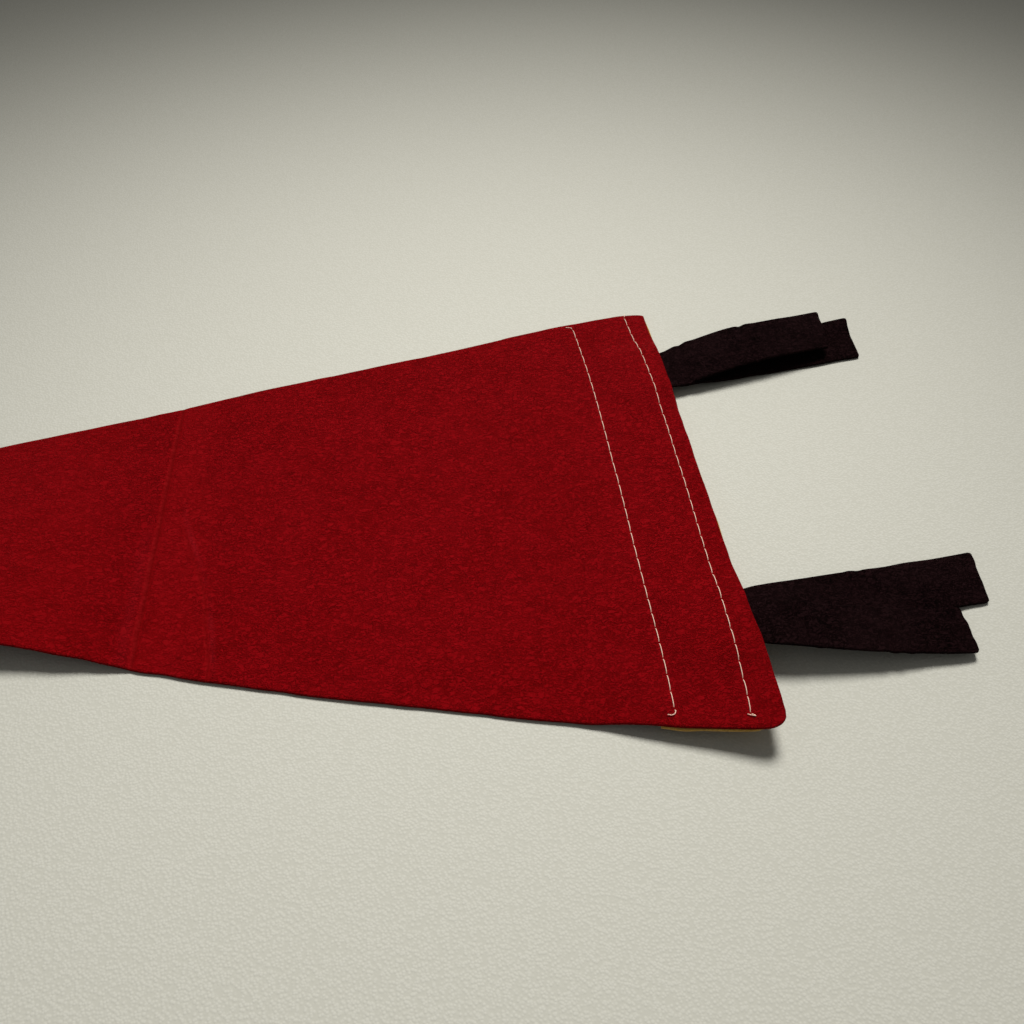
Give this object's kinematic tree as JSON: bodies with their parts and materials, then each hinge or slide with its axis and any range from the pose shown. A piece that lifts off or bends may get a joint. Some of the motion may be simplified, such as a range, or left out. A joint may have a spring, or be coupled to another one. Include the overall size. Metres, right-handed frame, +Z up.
{
  "type": "felt pennant with tie strips",
  "caption": "Long triangular felt pennant with a sewn header band at its wide end and felt tie strips for fastening it to a pole, laid back side up.",
  "frame": {"origin": "on the resting surface, under the middle of the whole pennant with its ties", "axes": "+X from the tip towards the wide hoist end and the ties, +Y across the pennant towards its far edge, +Z up out of the back side"},
  "size_m": [0.5424, 0.203, 0.0115],
  "materials": {
    "red_felt": "pressed felt, matt, with a short fibre fuzz and mottled fibres",
    "gold_felt": "pressed felt, matt",
    "black_felt": "pressed felt, matt, slightly brown in the light",
    "cream_thread": "twisted polyester sewing thread, soft sheen"
  },
  "bodies": {
    "field": {"pennant_field": "red_felt", "header_band": "gold_felt", "far_tie_lower_root": "black_felt", "far_tie_upper_root": "black_felt", "near_tie_lower_root": "black_felt", "near_tie_upper_root": "black_felt", "outer_seam_thread": "cream_thread", "inner_seam_thread": "cream_thread", "outer_seam_front_thread": "cream_thread", "inner_seam_front_thread": "cream_thread"},
    "point": {"pennant_point": "red_felt"},
    "far_tie_lower": {"far_tie_lower": "black_felt"},
    "far_tie_upper": {"far_tie_upper": "black_felt"},
    "near_tie_lower": {"near_tie_lower": "black_felt"},
    "near_tie_upper": {"near_tie_upper": "black_felt"}
  },
  "joints": [
    {"name": "crease_fold", "type": "hinge", "parent": "field", "child": "point", "pos_m": [-0.0042, 0, 0.0015], "axis": [0, 1, 0], "range_deg": [0, 160]},
    {"name": "far_tie_bend", "type": "hinge", "parent": "field", "child": "far_tie_lower", "pos_m": [0.19122, 0.06155, 0.0032], "axis": [0.1719, -0.9851, 0], "range_deg": [0, 100]},
    {"name": "far_tie_part", "type": "hinge", "parent": "far_tie_lower", "child": "far_tie_upper", "pos_m": [0.19988, 0.06296, 0.0061], "axis": [0.2385, -0.9711, 0], "range_deg": [0, 70]},
    {"name": "near_tie_bend", "type": "hinge", "parent": "field", "child": "near_tie_lower", "pos_m": [0.19124, -0.06062, 0.0078], "axis": [0.1426, -0.9898, 0], "range_deg": [0, 100]},
    {"name": "near_tie_part", "type": "hinge", "parent": "near_tie_lower", "child": "near_tie_upper", "pos_m": [0.20024, -0.06566, 0.0087], "axis": [-0.0872, -0.9962, 0], "range_deg": [0, 70]}
  ]
}
